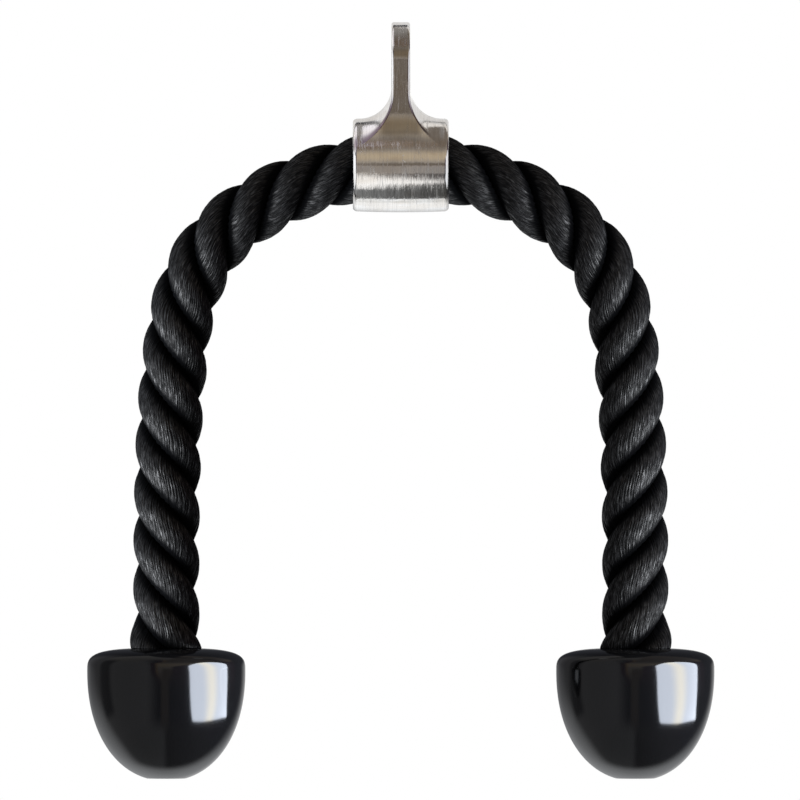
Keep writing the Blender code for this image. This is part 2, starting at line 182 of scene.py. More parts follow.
# The cards that the hanger shows: name, direction, distance, width and height, radiance, colour, and the
# direction that a card faces where it isn't its own
HANGER_CARDS = (
    ("low_card", (0, -42), 1.0, (0.6, 0.8), 1.0, PALE, None),
    ("front_card", (0, -12), 1.0, (0.6, 0.34), 0.19, WARM, None),
    ("back_card", (180, 25), 1.5, (3.2, 1.27), 0.74, PALE, None),
    ("top_right_card", (139.1, 53.7), 1.63, (1.15, 0.475), 0.74, PALE, (180, 61)),
    ("under_card", (180, -77.5), 1.2, (1.6, 0.42), 1.1, COOL, None),
    ("left_card", (-84, 34), 1.5, (1.5, 0.56), 0.8, PALE, None),
    ("top_left_card", (-60.8, 56.5), 1.56, (2.2, 1.2), 0.8, LAVENDER, (-90, 60)),
)


class Value:
    """A number that changes over a surface, held as a socket. Arithmetic on it adds Math nodes."""

    def __init__(self, shader, socket):
        self.shader = shader
        self.socket = socket

    def __add__(self, other):
        return self.shader.math("ADD", self, other)

    def __radd__(self, other):
        return self.shader.math("ADD", other, self)

    def __sub__(self, other):
        return self.shader.math("SUBTRACT", self, other)

    def __rsub__(self, other):
        return self.shader.math("SUBTRACT", other, self)

    def __mul__(self, other):
        return self.shader.math("MULTIPLY", self, other)

    def __rmul__(self, other):
        return self.shader.math("MULTIPLY", other, self)

    def __truediv__(self, other):
        return self.shader.math("DIVIDE", self, other)

    def __rtruediv__(self, other):
        return self.shader.math("DIVIDE", other, self)

    def __pow__(self, other):
        return self.shader.math("POWER", self, other)

    def __neg__(self):
        return self * -1

    def cosine(self):
        return self.shader.math("COSINE", self)

    def size(self):
        return self.shader.math("ABSOLUTE", self)

    def at_least(self, limit):
        return self.shader.math("MAXIMUM", self, limit)

    def at_most(self, limit):
        return self.shader.math("MINIMUM", self, limit)

    def ramp(self, low, high):
        """0 below low, 1 above high, and smooth in between."""
        settings, inputs = {"interpolation_type": "SMOOTHSTEP"}, {0: self, 1: low, 2: high}
        return self.shader.value(self.shader.node("ShaderNodeMapRange", settings, inputs))

    def near(self, centre, inner, outer):
        """1 within inner of a centre, 0 beyond outer, and smooth in between."""
        return 1 - (self - centre).size().ramp(inner, outer)


class Shader:
    """The nodes of one material, lamp or world."""

    def __init__(self, owner):
        owner.use_nodes = True
        self.owner = owner
        self.tree = owner.node_tree
        self.surface = self.tree.nodes.get("Principled BSDF")
        self.output = next(n for n in self.tree.nodes if n.bl_idname.startswith("ShaderNodeOutput"))

    def node(self, kind, settings=None, inputs=None):
        """A node of this kind. Its settings are set first, then the values or links of its sockets."""
        made = self.tree.nodes.new(kind)
        for name, value in (settings or {}).items():
            setattr(made, name, value)
        for key, value in (inputs or {}).items():
            self.feed(made.inputs[key], value)
        return made

    def feed(self, socket, value):
        if isinstance(value, Value):
            value = value.socket
        if isinstance(value, bpy.types.NodeSocket):
            self.tree.links.new(value, socket)
        else:
            socket.default_value = value

    def value(self, node, output=0):
        return Value(self, node.outputs[output])

    def math(self, operation, *terms):
        return self.value(self.node("ShaderNodeMath", {"operation": operation}, dict(enumerate(terms))))

    def split(self, vector):
        node = self.node("ShaderNodeSeparateXYZ", inputs={0: vector})
        return [self.value(node, i) for i in range(3)]

    def join(self, *parts):
        return self.node("ShaderNodeCombineXYZ", inputs=dict(enumerate(parts))).outputs[0]

    def marks(self, layer):
        """The two coordinates of a UV layer."""
        return self.split(self.node("ShaderNodeUVMap", {"uv_map": layer}).outputs[0])[:2]

    def noise(self, vector, scale=1.0, detail=2.0, rough=0.5):
        inputs = {"Vector": vector, "Scale": scale, "Detail": detail, "Roughness": rough}
        return self.value(self.node("ShaderNodeTexNoise", inputs=inputs))

    def cells(self, vector, scale):
        inputs = {"Vector": vector, "Scale": scale}
        return self.value(self.node("ShaderNodeTexVoronoi", inputs=inputs))

    def mix(self, share, first, second):
        """One colour turning into another."""
        colours = [(*c, 1) if isinstance(c, tuple) else c for c in (first, second)]
        inputs = {0: share, 6: colours[0], 7: colours[1]}
        return self.node("ShaderNodeMix", {"data_type": "RGBA"}, inputs).outputs[2]

    def relief(self, height, distance, strength):
        """The surface's normal with a height added. The distance is what a height of 1 stands for."""
        inputs = {"Height": height, "Distance": distance, "Strength": strength}
        return self.node("ShaderNodeBump", inputs=inputs).outputs[0]

    def finish(self, first, second, share):
        """Shows one surface, and a share of another."""
        inputs = {0: share, 1: first.outputs[0], 2: second.outputs[0]}
        both = self.node("ShaderNodeMixShader", inputs=inputs)
        self.tree.links.new(both.outputs[0], self.output.inputs["Surface"])
        return both

    def set(self, **values):
        """Values and links of the surface's own sockets, by name, with _ for a space."""
        for name, value in values.items():
            self.feed(self.surface.inputs[name.replace("_", " ")], value)


def new_material(name):
    """The nodes of a new material."""
    return Shader(bpy.data.materials.new(name))


def object_place(shader):
    """The place on the surface, in metres along the object's own axes."""
    return shader.node("ShaderNodeTexCoord").outputs["Object"]


def rope_material(settings):
    """Black silky filaments that run along the fibres' own way round each strand, with painted sheen on
    streaks of them and painted shade in the grooves.
    """
    shader = new_material("black_rope_fibre")
    across, along = shader.marks("fibre")
    filaments = shader.noise(shader.join(across * 2.2, along * 0.22, 0.0), detail=3, rough=0.65)
    locks = shader.noise(shader.join(across * 0.8, along * 0.12, 4.0), detail=2)
    patches = shader.noise(shader.join(across * 0.12, along * 0.06, 9.0), detail=2)
    # Painted sheen: along random streaks of bundles the fibres' colour turns into a paler copy of itself,
    # with a gloss coat on it
    lit = filaments.ramp(0.47, 0.64) * (0.25 + locks.ramp(0.35, 0.65))
    crest, _ = shader.marks("crest")
    colour = tuple(settings.rope_colour)
    pale = tuple(c * 6 for c in colour)
    shader.set(
        Base_Color=shader.mix(lit, colour, pale),
        Roughness=0.36 + 0.2 * filaments + 0.1 * patches,
        Coat_Weight=lit,
        Coat_Roughness=0.3,
        Specular_IOR_Level=0.3,
        Normal=shader.relief(filaments * 0.8 + locks * 0.5, 0.5 * MM, 1.0),
    )
    # Painted shade: in the grooves between the strands, and partly between the bundles, the fibres turn
    # into a copy of themselves with no gloss
    dull = {"Base Color": (*colour, 1), "Roughness": 1.0, "Specular IOR Level": 0.0}
    groove_shade = shader.node("ShaderNodeBsdfPrincipled", inputs=dull)
    shown = crest.ramp(*GROOVE_HEIGHTS) * (0.35 + 0.65 * filaments.ramp(0.38, 0.56))
    shader.finish(shader.surface, groove_shade, 1 - shown)
    return shader.owner


def casting_material(settings):
    """Bright cast metal, polished on a belt: fine lines round the sleeve and up the tab, and specks.

    Its darkest reflections are painted into its colour: painted dark reflections on the flare under the tab
    and on the brow of its head, and a painted dark purple reflection along the front edges of the tab's
    lower part.
    """
    shader = new_material("polished_casting")
    place = object_place(shader)
    x, y, z = shader.split(place)
    tilt = shader.split(shader.node("ShaderNodeNewGeometry").outputs["Normal"])[0]
    facing = tilt.size().ramp(0.6, 0.9)
    round_lines = shader.noise(shader.join(x * 5200, y * 70, z * 70), detail=3, rough=0.6)
    flat_lines = shader.noise(shader.join(x * 90, y * 4200, z * 90), detail=3, rough=0.6)
    lines = round_lines * (1 - facing) + flat_lines * facing
    strokes = shader.noise(shader.join(x * 1500, y * 110, z * 110), detail=3, rough=0.65)
    scratches = shader.noise(shader.join(x * 1900, y * 36, z * 36), detail=3, rough=0.7)
    waves = shader.noise(shader.join(x * 260, y * 120, z * 120), detail=3, rough=0.55)
    dull = shader.noise(shader.join(x * 60, y * 130, z * 130), detail=4, rough=0.6)
    specks = 1 - shader.cells(place, 520).ramp(0.05, 0.16)
    sparse = shader.noise(place, 160, 1).ramp(0.56, 0.68)
    up = z + AXIS_DROP
    along = ((FLARE_TOP - up) / (FLARE_TOP - FLARE_FOOT)).at_least(0.0)
    behind = y + TAB_HEAD_RADIUS + FLARE_OUT * along ** FLARE_POWER
    # Painted dark purple reflection along the front edges of the tab's lower part
    left_edge = (1 - behind.ramp(0.2 * MM, 2.2 * MM)) * (-tilt).ramp(0.0, 0.12) * up.ramp(4 * MM, 8 * MM)
    right_edge = (1 - behind.ramp(0.1 * MM, 0.7 * MM)) * tilt.ramp(0.1, 0.3) * up.ramp(12 * MM, 16 * MM)
    painted_edge_reflection = (left_edge + right_edge) * (-z).ramp(14 * MM, 22 * MM)
    # Painted dark reflections: on the front of the flare under the tab, and in a band across the front and
    # back of the tab's head
    foot = up.ramp(9 * MM, 12 * MM) * (0.4 + 0.6 * up.ramp(12.5 * MM, 15 * MM))
    flare = (1 - behind.ramp(0.3 * MM, 0.8 * MM)) * foot * (1 - up.ramp(18 * MM, 25 * MM))
    brow = 0.62 * z.ramp(-1 * MM, 2.5 * MM) * (1 - z.ramp(10 * MM, 15 * MM))
    brow = brow + 0.56 * z.near(3.2 * MM, 0.8 * MM, 3.2 * MM)
    dark = flare * x.near(0.0, 7 * MM, 12 * MM) + brow * tilt.near(0.0, 0.2, 0.5)
    bright = tuple(settings.casting_colour)
    stained = (bright[0] * 0.9, bright[1] * 0.87, bright[2] * 0.83)
    scratched = tuple(c * 0.62 for c in bright)
    colour = shader.mix(dull.ramp(0.42, 0.68), bright, stained)
    colour = shader.mix(scratches.ramp(0.35, 0.7) * 0.34, colour, scratched)
    # Mixes in the painted dark reflections, in a dark brown
    colour = shader.mix(dark * 0.64, colour, (0.12, 0.1, 0.08))
    height = lines * 0.04 + waves * 0.4 + strokes * 0.05 + specks * sparse * 0.3
    shader.set(
        # The painted dark purple reflection along the tab's front edges
        Base_Color=shader.mix(painted_edge_reflection * 0.9, colour, (0.13, 0.085, 0.11)),
        Roughness=settings.casting_roughness + 0.06 * lines + 0.2 * strokes.ramp(0.5, 0.72),
        Normal=shader.relief(height, 0.4 * MM, 0.6),
        Metallic=1.0,
        Anisotropic=0.6,
    )
    return shader.owner


def cap_material(settings):
    """Gloss black moulding: a faint orange peel, and hairline scuffs that only roughen it."""
    shader = new_material("black_moulding_gloss")
    place = object_place(shader)
    peel = shader.noise(place, 150, 2)
    scuffs = shader.noise(place, 900, 4, 0.7).ramp(0.55, 0.8)
    clouds = shader.noise(place, 45, 2)
    colour = tuple(settings.cap_colour)
    shader.set(
        Base_Color=shader.mix(clouds, colour, tuple(c * 1.5 for c in colour)),
        Roughness=settings.cap_roughness + 0.05 * scuffs + 0.02 * clouds,
        Normal=shader.relief(peel, 0.04 * MM, 0.3),
        IOR=1.55,
    )
    return shader.owner


def zinc_material():
    """Zinc-plated steel: a pale bluish grey with cloudy passivation and turning marks."""
    shader = new_material("zinc_plated_steel")
    place = object_place(shader)
    clouds = shader.noise(place, 380, 3)
    marks = shader.noise(place, 2600, 2)
    shader.set(
        Base_Color=shader.mix(clouds.ramp(0.35, 0.65), (0.55, 0.57, 0.60), (0.66, 0.64, 0.58)),
        Roughness=0.28 + 0.2 * marks,
        Normal=shader.relief(marks, 0.03 * MM, 0.5),
        Metallic=1.0,
    )
    return shader.owner


def binding_material():
    """Dull grey woven tape round the rope's end."""
    shader = new_material("grey_binding_tape")
    x, y, z = shader.split(object_place(shader))
    weave = (z * 5200).cosine() * 0.5 + 0.5
    fibres = shader.noise(shader.join(x * 900, y * 900, z * 2600), detail=3)
    shader.set(
        Base_Color=shader.mix(weave * fibres, (0.03, 0.03, 0.034), (0.09, 0.09, 0.095)),
        Roughness=0.6 + 0.25 * fibres,
        Normal=shader.relief(weave + fibres, 0.15 * MM, 0.6),
    )
    return shader.owner


def finished(name, points, faces, material, slot):
    """A smooth mesh object from points and faces, with its material. The slot is not used."""
    mesh = bpy.data.meshes.new(name)
    mesh.from_pydata([tuple(p) for p in points], [], faces)
    mesh.materials.append(material)
    made = bpy.data.objects.new(name, mesh)
    bpy.context.scene.collection.objects.link(made)
    mesh.shade_smooth()
    return made


def smooth_line(points):
    """The point at a share of a natural cubic spline through points, as a function."""
    knots = np.array(points)
    at = np.concatenate([[0], np.cumsum(np.linalg.norm(np.diff(knots, axis=0), axis=1))])
    gaps = np.diff(at)
    count = len(knots)
    lines, sides = np.eye(count), np.zeros((count, 2))
    for i in range(1, count - 1):
        lines[i, i - 1:i + 2] = gaps[i - 1], 2 * (gaps[i - 1] + gaps[i]), gaps[i]
        sides[i] = 6 * ((knots[i + 1] - knots[i]) / gaps[i] - (knots[i] - knots[i - 1]) / gaps[i - 1])
    bend = np.linalg.solve(lines, sides)

    def point(share):
        x = share * at[-1]
        i = min(int(np.searchsorted(at, x, side="right")) - 1, count - 2)
        before, after, gap = x - at[i], at[i + 1] - x, gaps[i]
        curve = (bend[i] * after ** 3 + bend[i + 1] * before ** 3) / (6 * gap)
        from_first = (knots[i] / gap - bend[i] * gap / 6) * after
        from_second = (knots[i + 1] / gap - bend[i + 1] * gap / 6) * before
        return curve + from_first + from_second

    return point


def rope_line():
    """Stations along one side of the rope: distances from the bend at the mouth, places and directions.

    They are even, and closer together on the bulge above the cap.
    """
    curve = smooth_line(ROUTE)
    fine = np.array([curve(i / LINE_STEPS) for i in range(LINE_STEPS + 1)])
    far = np.concatenate([[0], np.cumsum(np.linalg.norm(np.diff(fine, axis=0), axis=1))])
    pivot = far[np.linalg.norm(fine - np.array(ROUTE[PIVOT_AT]), axis=1).argmin()]
    even = np.linspace(0, far[-1], round(far[-1] / ROW_STEP) + 1)
    bulge = far[-1] - ROPE_IN_CAP + CAP_BULGE_ROWS
    distances = np.concatenate([even[(even < bulge[0] - MM) | (even > bulge[-1] + MM)], bulge])
    distances.sort()
    places = np.stack([np.interp(distances, far, fine[:, k]) for k in range(2)], axis=1)
    slopes = np.gradient(places, distances, axis=0)
    slopes /= np.linalg.norm(slopes, axis=1)[:, None]
    return distances - pivot, places, slopes


def strand_reach(angles, radius):
    """How far a strand's skin lies from the strand's own middle, in each direction across the rope."""
    wedge = math.pi / STRANDS
    centre = radius * STRAND_CENTRE_SHARE
    depth, width = radius * STRAND_DEPTH_SHARE, radius * STRAND_WIDTH_SHARE
    lobe = 1 / np.sqrt((np.cos(angles) / depth) ** 2 + (np.sin(angles) / width) ** 2)
    slant = np.abs(np.sin(angles)) * math.cos(wedge) - np.cos(angles) * math.sin(wedge)
    flat = (centre * math.sin(wedge) - STRAND_GAP / 2) / np.maximum(slant, 1e-6)
    return np.where(slant > 1e-6, np.minimum(lobe, flat), lobe)


def bell(values, middle, width):
    """1 at the middle, falling smoothly to 0 on both sides."""
    return np.exp(-(((values - middle) / width) ** 2))


def swelling(distances):
    """How much thicker the rope is along its line: it bulges where it goes into its cap."""
    before = distances[-1] - ROPE_IN_CAP - distances
    return 1 + CAP_BULGE_SHARE * bell(before, 0, np.where(before > 0, *CAP_BULGE_REACH))


def fibre_heights(settings, distances, rng):
    """How far one strand's fibres stand above their mean, row by row. The bundles change at each knot."""
    at = (distances - distances[0]) / KNOT_STEP
    knots = math.ceil(at[-1]) + 2
    waves = np.fft.rfftfreq(STRAND_COLUMNS, 1 / STRAND_COLUMNS)
    shares = bell(waves / settings.fibres, 1, 0.45) + bell(waves / settings.fibres, 0.35, 0.15)
    noise = np.fft.rfft(rng.normal(size=(knots, STRAND_COLUMNS)))
    bundles = np.fft.irfft(noise * shares, STRAND_COLUMNS)
    bundles /= bundles.std()
    low = at.astype(int)
    turn = (at - low)[:, None] * math.pi / 2
    return bundles[low] * np.cos(turn) + bundles[low + 1] * np.sin(turn)


def strand_rings(settings, strand, rng):
    """Rows of points round one strand, with their heights from the rope's middle as shares of its radius.

    The columns follow the fibres, which lie back against the lay.
    """
    distances, places, slopes = rope_line()
    around = 2 * math.pi * np.arange(STRAND_COLUMNS) / STRAND_COLUMNS
    lay = 2 * math.pi / settings.lay_length
    heights = fibre_heights(settings, distances, rng)
    radii = settings.rope_radius * swelling(distances)
    rows, crests = [], []
    for distance, place, slope, height, radius in zip(distances, places, slopes, heights, radii):
        twist = LAY_PHASE + 2 * math.pi * strand / STRANDS + lay * distance
        local = around - FIBRE_TURN_SHARE * lay * distance
        sunk = settings.fibre_depth * np.clip(FIBRE_TOP - height, 0, FIBRE_DEEPEST)
        reach = strand_reach(local, radius) - sunk
        across = radius * STRAND_CENTRE_SHARE + reach * np.cos(local)
        beside = reach * np.sin(local)
        up = across * math.cos(twist) - beside * math.sin(twist)
        front = across * math.sin(twist) + beside * math.cos(twist)
        rows.append(np.stack([place[0] - slope[1] * up, -front, place[1] + slope[0] * up], axis=1))
        crests.append(np.hypot(across, beside) / radius)
    return np.array(rows), np.array(crests), distances


def rope_side(settings, side_name, side, material):
    """Half of the rope, from the middle of the sleeve into a cap: three strands wound round each other."""
    rng = np.random.default_rng(FIBRE_SEED)
    points, faces, marks, tops = [], [], [], []
    for strand in range(STRANDS):
        rings, crests, distances = strand_rings(settings, strand, rng)
        rows, columns = rings.shape[:2]
        first = sum(len(p) for p in points)
        points.append(rings.reshape(-1, 3) * (side, 1, 1) - (0, 0, AXIS_DROP))
        lap = np.arange(columns)
        after = (lap + 1) % columns
        for i in range(rows - 1):
            a, b = first + i * columns + lap, first + i * columns + after
            quads = np.stack([a, b, b + columns, a + columns], axis=1)
            us = np.stack([lap, lap + 1, lap + 1, lap], axis=1) * (STRAND_PERIMETER / STRAND_COLUMNS)
            vs = np.broadcast_to(distances[[i, i, i + 1, i + 1]] / MM, us.shape)
            high = np.stack([crests[i], crests[i][after], crests[i + 1][after], crests[i + 1]], axis=1)
            if side < 0:
                quads, us, vs, high = quads[:, ::-1], us[:, ::-1], vs[:, ::-1], high[:, ::-1]
            faces += quads.tolist()
            tops.append(np.stack([high, high], axis=2).reshape(-1, 2))
            marks.append(np.stack([us + 2 * STRAND_PERIMETER * strand, vs], axis=2).reshape(-1, 2))
        for start, turned in ((first, side > 0), (first + (rows - 1) * columns, side < 0)):
            end = (start + lap)[::-1] if turned else start + lap
            faces.append(end.tolist())
            marks.append(np.zeros((columns, 2)))
            tops.append(np.zeros((columns, 2)))
    made = finished(side_name + "_rope", np.concatenate(points), faces, material, "black_rope")
    for name, values in (("fibre", marks), ("crest", tops)):
        layer = made.data.uv_layers.new(name=name)
        layer.data.foreach_set("uv", np.concatenate(values).astype(np.float32).ravel())
    return made


def declare_rope(made, side_name, side):
    """Hides the solids of the strands and cores that the rope stands for, and bakes its place into its
    mesh.
    """
    distances, places, _ = rope_line()
    path = [(side * x, 0, z - AXIS_DROP) for x, z in (*places[::4], places[-1])]
    nodes = [f"{side_name}_strand_{i + 1}" for i in range(STRANDS)]
    cores = [f"core_strand_{i + 1}" for i in range(STRANDS)]
    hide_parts(*nodes, *cores)
    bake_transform(made)


class Skin:
    """How far points are outside a shape, and the way out of it at each point."""

    def __init__(self, distance, way):
        size = np.linalg.norm(way, axis=1)
        self.distance = distance / size
        self.way = way / size[:, None]

    def __neg__(self):
        return Skin(-self.distance, -self.way)

    def join(self, other, radius=0.0):
        """This shape and another as one, with a round fillet where they meet."""
        nearer = self.distance < other.distance
        distance = np.where(nearer, self.distance, other.distance)
        way = np.where(nearer[:, None], self.way, other.way)
        facing = np.clip((self.way * other.way).sum(1), -NEARLY_PARALLEL, NEARLY_PARALLEL)
        a, b = radius - self.distance, radius - other.distance
        inside = (a > np.maximum(b * facing, 0)) & (b > np.maximum(a * facing, 0))
        to_own = (a - b * facing) / (1 - facing ** 2)
        to_other = (b - a * facing) / (1 - facing ** 2)
        centre = to_own[:, None] * self.way + to_other[:, None] * other.way
        reach = np.maximum(np.linalg.norm(centre, axis=1), 1e-9)
        distance = np.where(inside, radius - reach, distance)
        return Skin(distance, np.where(inside[:, None], centre / reach[:, None], way))

    def cut(self, other, radius=0.0):
        """What this shape shares with another, with a rounded edge where they meet."""
        return -((-self).join(-other, radius))


def casting_skin(points, settings):
    """The hanger's skin: a sleeve, and a tab whose sides and front run down on to it in fillets."""
    x, y, z = points.T
    up = z + AXIS_DROP
    out, head = np.hypot(y, up) + 1e-9, np.hypot(y, z) + 1e-9
    none = np.zeros_like(x)
    sideways = np.stack([np.sign(x), none, none], axis=1)
    crown = SLEEVE_CROWN * (x / SLEEVE_HALF) ** 2
    slope = 2 * SLEEVE_CROWN * x / SLEEVE_HALF ** 2
    tube = Skin(out - settings.sleeve_radius + crown, np.stack([slope, y / out, up / out], axis=1))
    sleeve = tube.cut(Skin(np.abs(x) - SLEEVE_HALF, sideways), SLEEVE_EDGE)
    plate = Skin(np.abs(x) - settings.tab_thickness / 2, sideways)
    level = np.stack([none, np.sign(y), none], axis=1)
    bend = np.stack([none, y / head, z / head], axis=1)
    above = z > 0
    rim = Skin(np.where(above, head, np.abs(y)) - TAB_HEAD_RADIUS, np.where(above[:, None], bend, level))
    foot = Skin(-up, np.stack([none, none, none - 1], axis=1))
    webbed = sleeve.join(plate, SIDE_FILLET)
    fronted = sleeve.join(rim.cut(foot), np.where(up > 0, FRONT_FILLET, 0))
    body = webbed.cut(fronted, TAB_EDGE)
    past = np.clip(np.abs(x) - BORE_STRAIGHT_HALF, 0, MOUTH_FLARE_RADIUS * 0.9)
    drop = np.sqrt(MOUTH_FLARE_RADIUS ** 2 - past ** 2)
    bore = BORE_RADIUS + MOUTH_FLARE_RADIUS - drop
    inward = np.stack([past / drop * np.sign(x), -y / out, -up / out], axis=1)
    bored = body.cut(Skin(bore - out, inward), MOUTH_EDGE)
    return bored.cut(Skin(EYE_RADIUS - head, -bend), EYE_EDGE)


def casting_mesh(settings):
    """A fine even mesh of the hanger: its solid remeshed, then drawn on to the exact skin."""
    rough = bpy.data.objects.new("rough_casting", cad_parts["hanger"].data.copy())
    bpy.context.scene.collection.objects.link(rough)
    remesh = rough.modifiers.new("even", "REMESH")
    remesh.mode = "VOXEL"
    remesh.voxel_size = settings.casting_grain
    evaluated = rough.evaluated_get(bpy.context.evaluated_depsgraph_get())
    mesh = evaluated.to_mesh()
    points = np.array([v.co for v in mesh.vertices], float)
    faces = [tuple(p.vertices) for p in mesh.polygons]
    edges = np.array([e.vertices for e in mesh.edges])
    evaluated.to_mesh_clear()
    bpy.data.objects.remove(rough, do_unlink=True)
    count = np.bincount(edges.ravel(), minlength=len(points))[:, None]
    for lap in range(DRAWING_LAPS):
        skin = casting_skin(points, settings)
        points = points - skin.way * np.clip(skin.distance, -MM, MM)[:, None]
        if lap < SMOOTHING_LAPS:
            total = np.zeros_like(points)
            np.add.at(total, edges[:, 0], points[edges[:, 1]])
            np.add.at(total, edges[:, 1], points[edges[:, 0]])
            points = points + 0.5 * (total / count - points)
    return points, faces, casting_skin(points, settings).way


def rounding(angle, power):
    """How far across and up a point of a quarter superellipse lies, as shares of its two reaches."""
    return math.cos(angle) ** (2 / power), math.sin(angle) ** (2 / power)


def edge_arc(centre, radius, start, step, count):
    """Points round an edge, each a step of degrees on from the one before."""
    angles = [math.radians(start + step * i) for i in range(count)]
    return [(centre[0] + radius * math.cos(a), centre[1] + radius * math.sin(a)) for a in angles]


def cap_outline(settings):
    """The cap's section: from its lip over the shoulder, down the bowl to the foot, and back up inside."""
    radius, height = settings.cap_radius, settings.cap_height
    mouth = BORE_RADIUS
    start = math.acos(((mouth + CAP_LIP_EDGE) / radius) ** (CAP_SHOULDER_POWER / 2))
    outline = []
    for i in range(SHOULDER_STEPS):
        out, rise = rounding(start * (1 - i / SHOULDER_STEPS), CAP_SHOULDER_POWER)
        outline.append((radius * out, -CAP_SHOULDER * (1 - rise)))
    foot = math.acos((CAP_FOOT_RADIUS / radius) ** (CAP_BOWL_POWER / 2))
    depth = (height - CAP_SHOULDER) / rounding(foot, CAP_BOWL_POWER)[1]
    for i in range(BOWL_STEPS + 1):
        out, fall = rounding(foot * i / BOWL_STEPS, CAP_BOWL_POWER)
        outline.append((radius * out, -CAP_SHOULDER - depth * fall))
    foot_edge = (COUNTERBORE_RADIUS + CAP_FOOT_EDGE, -height + CAP_FOOT_EDGE)
    outline += edge_arc(foot_edge, CAP_FOOT_EDGE, -90, -22.5, 5)
    web_foot = COUNTERBORE_DEPTH - height
    outline += [
        (COUNTERBORE_RADIUS, web_foot + COUNTERBORE_CHAMFER),
        (COUNTERBORE_RADIUS - COUNTERBORE_CHAMFER, web_foot),
        (SCREW_HOLE_RADIUS, web_foot),
        (SCREW_HOLE_RADIUS, -SOCKET_DEPTH),
        (CHAMBER_RADIUS, -SOCKET_DEPTH),
        (CHAMBER_RADIUS, -CAP_LIP_DEPTH),
        (mouth, -CAP_LIP_DEPTH),
    ]
    lip_edge = (mouth + CAP_LIP_EDGE, outline[0][1] - CAP_LIP_EDGE)
    return outline + edge_arc(lip_edge, CAP_LIP_EDGE, 180, -15, 6)


def turned(outline, steps, at):
    """Points and faces of an outline of (radius, height) turned about an upright axis."""
    count = len(outline)
    points, faces = [], []
    for k in range(steps):
        turn = 2 * math.pi * k / steps
        points += [(at[0] + r * math.cos(turn), at[1] + r * math.sin(turn), at[2] + h) for r, h in outline]
        after = (k + 1) % steps * count
        for j in range(count):
            i = (j + 1) % count
            faces.append((k * count + j, k * count + i, after + i, after + j))
    return points, faces


class RopeSettings(bpy.types.PropertyGroup):
    """The rope."""

    rope_radius: FloatProperty(
        name="Rope radius",
        description="Half the rope's thickness over its strands",
        default=15.15 * MM,
        unit="LENGTH",
    )
    lay_length: FloatProperty(
        name="Lay length",
        description="How far the rope runs while a strand goes round once",
        default=65.6 * MM,
        unit="LENGTH",
    )
    fibres: IntProperty(
        name="Fibres",
        description="Fibre bundles round the skin of each strand",
        default=44,
    )
    fibre_depth: FloatProperty(
        name="Fibre depth",
        description="How far the bundles stand up and sink",
        default=0.1 * MM,
        unit="LENGTH",
    )
    rope_colour: FloatVectorProperty(
        name="Rope colour",
        description="Colour of the fibres in shade",
        default=(0.0034, 0.0036, 0.0041),
        subtype="COLOR",
    )


class CastingSettings(bpy.types.PropertyGroup):
    """The hanger."""

    sleeve_radius: FloatProperty(
        name="Sleeve radius",
        description="Outside of the sleeve at its middle",
        default=21.5 * MM,
        unit="LENGTH",
    )
    tab_thickness: FloatProperty(
        name="Tab thickness",
        description="Thickness of the tab with the eye",
        default=8.5 * MM,
        unit="LENGTH",
    )
    casting_grain: FloatProperty(
        name="Casting grain",
        description="Size of the casting's mesh faces",
        default=0.5 * MM,
        unit="LENGTH",
    )
    casting_colour: FloatVectorProperty(
        name="Casting colour",
        description="Colour of the polished metal",
        default=(0.87, 0.855, 0.84),
        subtype="COLOR",
    )
    casting_roughness: FloatProperty(
        name="Casting roughness",
        description="Blur of the polish",
        default=0.1,
    )


class CapSettings(bpy.types.PropertyGroup):
    """The end caps."""

    cap_radius: FloatProperty(
        name="Cap radius",
        description="Radius at the shoulder",
        default=36 * MM,
        unit="LENGTH",
    )
    cap_height: FloatProperty(
        name="Cap height",
        description="From the lip to the foot",
        default=59.3 * MM,
        unit="LENGTH",
    )
    cap_colour: FloatVectorProperty(
        name="Cap colour",
        description="Colour of the moulding",
        default=(0.0022, 0.0022, 0.0025),
        subtype="COLOR",
    )
    cap_roughness: FloatProperty(
        name="Cap roughness",
        description="Blur of the gloss",
        default=0.09,
    )


class StageSettings(bpy.types.PropertyGroup):
    """The studio."""

    camera_distance: FloatProperty(
        name="Camera distance",
        description="From the camera to the object",
        default=8.0,
        unit="LENGTH",
    )
    floor_drop: FloatProperty(
        name="Floor drop",
        description="From the caps down to the floor",
        default=0.42,
        unit="LENGTH",
    )
    side_radiance: FloatProperty(
        name="Side light",
        description="Brightness of the softboxes at the sides",
        default=2.5,
    )
    metal_radiance: FloatProperty(
        name="Metal light",
        description="Brightness of the hanger's own lights",
        default=1.0,
    )
    rope_radiance: FloatProperty(
        name="Rope light",
        description="Brightness of the rope's own lights",
        default=10.5,
    )
    floor_radiance: FloatProperty(
        name="Floor light",
        description="Brightness of the floor's own light",
        default=2.2,
    )
    window_radiance: FloatProperty(
        name="Window",
        description="Brightness of the window in the caps",
        default=14.0,
    )


def toward(azimuth, elevation):
    """A direction from the object. Azimuth 0 is the camera's side and 90 is the object's right."""
    azimuth, elevation = math.radians(azimuth), math.radians(elevation)
    return Vector((
        math.sin(azimuth) * math.cos(elevation),
        -math.cos(azimuth) * math.cos(elevation),
        math.sin(elevation),
    ))


